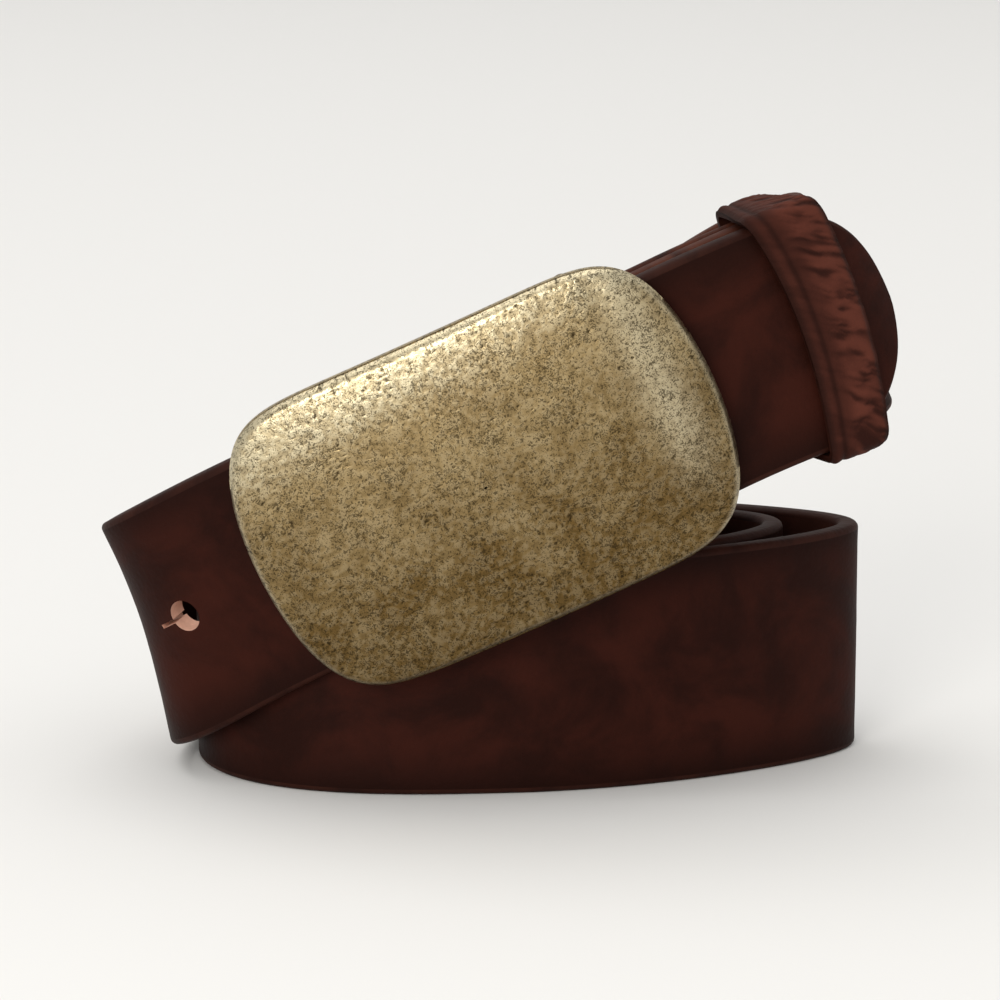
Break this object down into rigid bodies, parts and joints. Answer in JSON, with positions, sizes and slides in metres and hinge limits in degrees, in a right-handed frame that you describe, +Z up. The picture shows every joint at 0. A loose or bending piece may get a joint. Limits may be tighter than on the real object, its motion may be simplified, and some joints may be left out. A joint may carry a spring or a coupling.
{
  "type": "belt with plate buckle",
  "caption": "Leather belt wound into a free-standing coil, fastened with an antique brass plate buckle on a wire bale, with a hook, keyholes, a keeper and a rounded tip.",
  "frame": {"origin": "on the ground under the middle of the coil's bounding box", "axes": "+X towards the tip end at the viewer's right, +Y away from the viewer and through the coil, +Z up; the buckle's face looks to -Y"},
  "size_m": [0.1274, 0.0736, 0.0971],
  "materials": {
    "strap_leather": "waxed full-grain leather with a burnished dark edge",
    "keeper_leather": "soft creased leather, a little lighter than the strap",
    "antique_brass": "antiqued cast brass with a fine granular pitted face and a worn rim",
    "wire_brass": "darkened drawn and turned brass"
  },
  "bodies": {
    "belt": {"belt_strap": "strap_leather", "screw_post_1": "wire_brass", "strap_screw_1": "wire_brass", "screw_post_2": "wire_brass", "strap_screw_2": "wire_brass"},
    "bale": {"wire_bale": "wire_brass"},
    "buckle": {"buckle_plate": "antique_brass", "hinge_lug_upper": "antique_brass", "hinge_lug_lower": "antique_brass", "hook_base": "antique_brass", "hook_peg": "wire_brass"},
    "keeper": {"keeper_loop": "keeper_leather", "keeper_staple_upper": "wire_brass", "keeper_staple_lower": "wire_brass"}
  },
  "joints": [
    {"name": "bale_swing", "type": "hinge", "parent": "belt", "child": "bale", "pos_m": [0.01959, -0.01856, 0.06346], "axis": [-0.4112, -0.0874, 0.9073], "range_deg": [0, 5]},
    {"name": "plate_swing", "type": "hinge", "parent": "bale", "child": "buckle", "pos_m": [0.01437, -0.02828, 0.06062], "axis": [-0.4155, -0.0871, 0.9054], "range_deg": [0, 5]},
    {"name": "keeper_slide", "type": "slide", "parent": "belt", "child": "keeper", "axis": [0.8788, 0.3983, 0.2627], "range_m": [-0.0012, 0.0007]}
  ]
}
